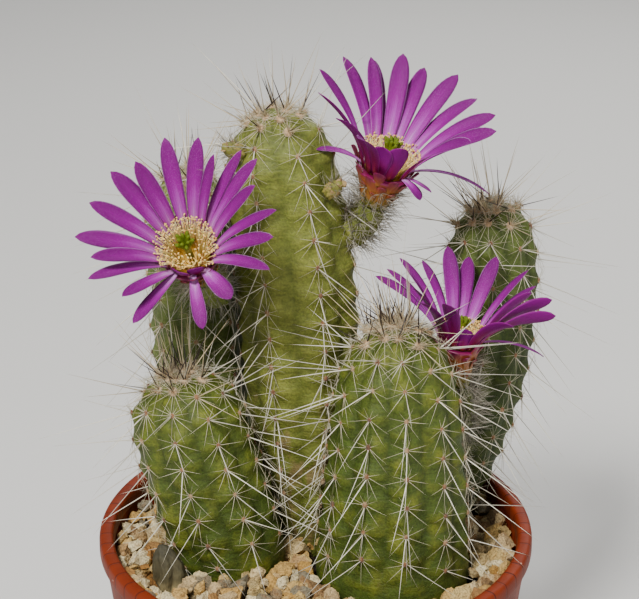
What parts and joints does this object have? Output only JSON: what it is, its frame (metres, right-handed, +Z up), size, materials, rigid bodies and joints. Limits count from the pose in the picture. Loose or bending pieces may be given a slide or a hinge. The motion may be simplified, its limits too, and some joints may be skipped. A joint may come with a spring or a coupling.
{
  "type": "hedgehog cactus",
  "caption": "Hedgehog cactus in its pot: ribbed green stems with long pale spines and wide magenta flowers, standing in pale gravel in a round terracotta-coloured plastic pot.",
  "frame": {"origin": "centre of the pot's base, on the surface that it stands on", "axes": "+Z up along the pot's axis, -Y to the front, where the two short stems stand, +X to the right as seen from the front"},
  "size_m": [0.1995, 0.165, 0.278],
  "materials": {
    "pot_plastic": "satin terracotta-coloured polypropylene",
    "potting_soil": "dark, crumbly and matt",
    "pumice_gravel": "rough, porous and matt",
    "stem_flesh": "waxy green skin with whitish spines",
    "withered_flesh": "dry, shrunken and matt",
    "flower_tube_flesh": "waxy orange-brown",
    "petal_tissue": "silky magenta, paler towards the base",
    "stamen_tissue": "powdery cream",
    "stigma_tissue": "velvety green",
    "bud_scales": "yellowish green, matt"
  },
  "bodies": {
    "root": {"pot": "pot_plastic", "soil": "potting_soil", "gravel": "pumice_gravel", "stem_front_right": "stem_flesh", "stem_front_left": "stem_flesh", "stem_centre": "stem_flesh", "stem_right": "stem_flesh", "stem_back_left": "stem_flesh", "stem_withered": "withered_flesh", "flower_left_tube": "flower_tube_flesh", "flower_left_petals": "petal_tissue", "flower_left_stamens": "stamen_tissue", "flower_left_stigma": "stigma_tissue", "flower_top_tube": "flower_tube_flesh", "flower_top_petals": "petal_tissue", "flower_top_stamens": "stamen_tissue", "flower_top_stigma": "stigma_tissue", "flower_right_tube": "flower_tube_flesh", "flower_right_petals": "petal_tissue", "flower_right_stamens": "stamen_tissue", "flower_right_stigma": "stigma_tissue", "bud_left": "bud_scales", "bud_right": "bud_scales"}
  },
  "joints": []
}
